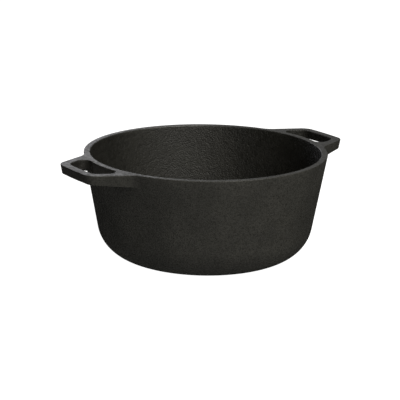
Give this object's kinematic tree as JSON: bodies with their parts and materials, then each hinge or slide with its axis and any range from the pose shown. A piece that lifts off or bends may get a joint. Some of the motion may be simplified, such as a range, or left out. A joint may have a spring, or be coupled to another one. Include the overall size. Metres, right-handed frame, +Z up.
{
  "type": "dutch oven pot",
  "caption": "Round tapered cast iron pot with a thick floor, a flat rim that seats a lid, and two loop handles flush with the rim.",
  "frame": {"origin": "centre of the base, in the plane that the pot stands on", "axes": "+Z up through the open mouth, the two handles along +X and -X, +Y across"},
  "size_m": [0.336, 0.2676, 0.116],
  "materials": {
    "vessel_iron": "seasoned, fine sand-cast grain",
    "handle_iron": "seasoned, fine sand-cast grain"
  },
  "bodies": {
    "root": {"vessel": "vessel_iron", "left_handle": "handle_iron", "right_handle": "handle_iron"}
  },
  "joints": []
}
